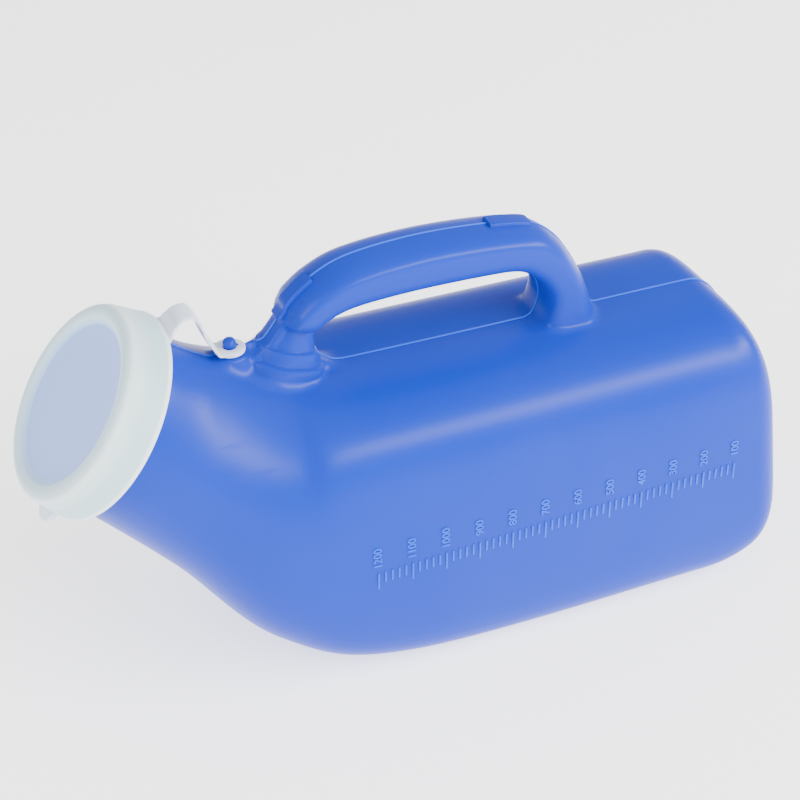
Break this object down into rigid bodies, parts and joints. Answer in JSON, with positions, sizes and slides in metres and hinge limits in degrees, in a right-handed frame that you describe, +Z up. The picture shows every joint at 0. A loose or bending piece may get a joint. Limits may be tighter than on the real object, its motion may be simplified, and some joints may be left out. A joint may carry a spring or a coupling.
{
  "type": "urine bottle",
  "caption": "Blow-moulded urine bottle lying on its side, with an upturned neck, a carry handle, volume marks and a snap cap on a strap.",
  "frame": {"origin": "on the ground, under the middle of the bottle's bounding box", "axes": "+Z up with the bottle lying on its flat side, +X along the body from the mouth to the base end, +Y to the left of that"},
  "size_m": [0.2675, 0.0982, 0.1462],
  "materials": {
    "bottle_plastic": "satin blow-moulded polyethylene, blue",
    "cap_plastic": "milky injection-moulded soft polyethylene"
  },
  "bodies": {
    "bottle": {"bottle_body": "bottle_plastic", "carry_handle": "bottle_plastic", "grip_rib": "bottle_plastic", "tether_stud": "bottle_plastic", "tether_pad": "cap_plastic"},
    "tether_rear": {"tether_rear": "cap_plastic"},
    "tether_front": {"tether_front": "cap_plastic"},
    "cap": {"cap_shell": "cap_plastic", "plug_lip": "cap_plastic", "pull_tab": "cap_plastic"}
  },
  "joints": [
    {"name": "tether_base", "type": "hinge", "parent": "bottle", "child": "tether_rear", "pos_m": [-0.0651, 0, 0.1193], "axis": [0, 1, 0], "range_deg": [0, 20]},
    {"name": "tether_fold", "type": "hinge", "parent": "tether_rear", "child": "tether_front", "pos_m": [-0.0727, 0, 0.1342], "axis": [0, 1, 0], "range_deg": [0, 116]},
    {"name": "cap_flip", "type": "hinge", "parent": "tether_front", "child": "cap", "pos_m": [-0.0798, 0, 0.13], "axis": [0, 1, 0], "range_deg": [0, 73]}
  ],
  "couplings": [
    {"joint": "tether_base", "follows": "cap_flip", "ratio": 0.273},
    {"joint": "tether_fold", "follows": "cap_flip", "ratio": 1.588}
  ]
}
